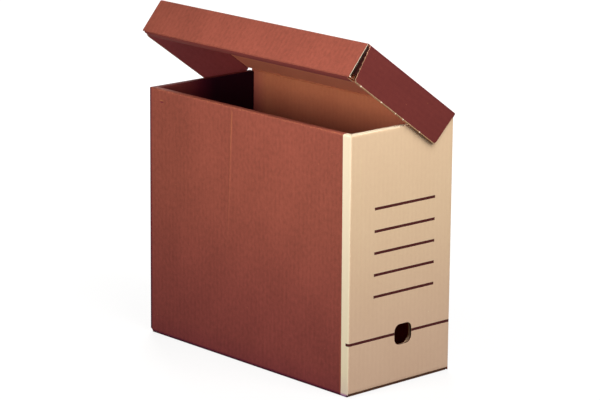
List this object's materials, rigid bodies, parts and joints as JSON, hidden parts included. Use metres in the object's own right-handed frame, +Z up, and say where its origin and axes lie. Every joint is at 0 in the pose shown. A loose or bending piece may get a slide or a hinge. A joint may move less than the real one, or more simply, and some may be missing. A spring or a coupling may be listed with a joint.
{
  "type": "document box",
  "caption": "Tall corrugated-board document box with double rolled-rim walls, a finger hole in the labelled end and a hinged lid with a rolled front.",
  "frame": {"origin": "centre of the box's footprint on the surface it stands on, below the long bottom flap at -X", "axes": "+Z up; the labelled narrow end with the finger hole faces -Y; the lid is hinged along the long wall at +X and opens away from the long wall at -X"},
  "size_m": [0.1613, 0.3432, 0.3869],
  "materials": {
    "red_print": "matte brown-red print on corrugated board, kraft inside",
    "beige_print": "matte beige print on corrugated board, kraft inside",
    "kraft_board": "bare kraft corrugated board"
  },
  "bodies": {
    "box": {"near_wall_outer": "red_print", "near_wall_liner": "red_print", "spine_outer": "beige_print", "spine_liner": "beige_print", "rear_wall_outer": "red_print", "rear_wall_liner": "red_print", "far_wall": "red_print", "glue_lap": "kraft_board", "rear_ear": "kraft_board", "spine_ear": "kraft_board", "near_bottom_flap": "red_print", "far_bottom_flap": "red_print", "spine_bottom_flap": "kraft_board", "rear_bottom_flap": "kraft_board"},
    "lid": {"lid_top": "red_print", "lid_front_outer": "red_print", "lid_front_liner": "red_print"},
    "lid_end_spine": {"lid_end_flap_spine": "red_print", "lid_ear_spine": "red_print"},
    "lid_end_rear": {"lid_end_flap_rear": "red_print", "lid_ear_rear": "red_print"}
  },
  "joints": [
    {"name": "lid_hinge", "type": "hinge", "parent": "box", "child": "lid", "pos_m": [0.07725, 0, 0.2931], "axis": [0, 1, 0], "range_deg": [-35.2, 229.8]},
    {"name": "lid_end_spine_crease", "type": "hinge", "parent": "lid", "child": "lid_end_spine", "pos_m": [0.07725, -0.1699, 0.2931], "axis": [-0.8171, 0, 0.5764], "range_deg": [-2.3, 6.7]},
    {"name": "lid_end_rear_crease", "type": "hinge", "parent": "lid", "child": "lid_end_rear", "pos_m": [0.07725, 0.1699, 0.2931], "axis": [0.8171, 0, -0.5764], "range_deg": [-2.3, 6.7]}
  ]
}
